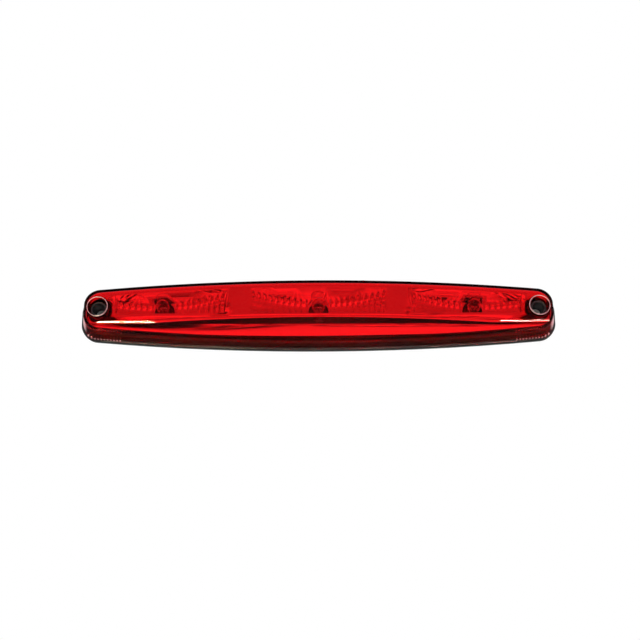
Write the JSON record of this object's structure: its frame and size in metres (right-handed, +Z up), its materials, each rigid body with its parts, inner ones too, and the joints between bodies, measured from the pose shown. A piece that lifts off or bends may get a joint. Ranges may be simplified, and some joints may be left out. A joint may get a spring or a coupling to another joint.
{
  "type": "third brake light",
  "caption": "Long slim red rear lamp for the top of a vehicle's back, with fluted reflector bays, twist-lock bulb holders and screw wells at both ends.",
  "frame": {"origin": "centre of the mounting plane, on the back face of the gasket", "axes": "X along the lamp's length, -Y the way the lens faces (backwards from the vehicle), +Z up"},
  "size_m": [0.36, 0.0505, 0.051],
  "materials": {
    "lens_red": "clear red moulding, polished",
    "sealant": "matt",
    "mirror_finish": "vacuum-metallised plastic",
    "black_plastic": "fine grained",
    "foam": "closed-cell foam",
    "zinc_steel": "zinc plated",
    "brass": "stamped strip",
    "connector_plastic": "moulded",
    "rubber": "moulded rubber",
    "holder_plastic": "moulded",
    "bulb_glass": "clear blown glass",
    "filament_wire": "drawn wire"
  },
  "bodies": {
    "lamp": {"lens": "lens_red", "lens_sealant": "sealant", "reflector": "mirror_finish", "lower_trim": "mirror_finish", "housing": "black_plastic", "mounting_gasket": "foam", "compression_sleeves": "zinc_steel", "fixing_screws": "zinc_steel", "live_bus_bar": "brass", "ground_bus_bar": "brass", "connector_socket": "connector_plastic", "breather_cap": "rubber"},
    "left_bulb_and_holder": {"bulb_holder_left": "holder_plastic", "holder_seal_left": "rubber", "holder_contacts_left": "brass", "bulb_glass_left": "bulb_glass", "bulb_filament_left": "filament_wire"},
    "centre_bulb_and_holder": {"bulb_holder_centre": "holder_plastic", "holder_seal_centre": "rubber", "holder_contacts_centre": "brass", "bulb_glass_centre": "bulb_glass", "bulb_filament_centre": "filament_wire"},
    "right_bulb_and_holder": {"bulb_holder_right": "holder_plastic", "holder_seal_right": "rubber", "holder_contacts_right": "brass", "bulb_glass_right": "bulb_glass", "bulb_filament_right": "filament_wire"}
  },
  "joints": [
    {"name": "left_holder_twist", "type": "hinge", "parent": "lamp", "child": "left_bulb_and_holder", "pos_m": [-0.1177, 0.006, 0.006], "axis": [0, -1, 0], "range_deg": [0, 45]},
    {"name": "centre_holder_twist", "type": "hinge", "parent": "lamp", "child": "centre_bulb_and_holder", "pos_m": [0, 0.006, 0.006], "axis": [0, -1, 0], "range_deg": [0, 45]},
    {"name": "right_holder_twist", "type": "hinge", "parent": "lamp", "child": "right_bulb_and_holder", "pos_m": [0.1177, 0.006, 0.006], "axis": [0, -1, 0], "range_deg": [0, 45]}
  ]
}
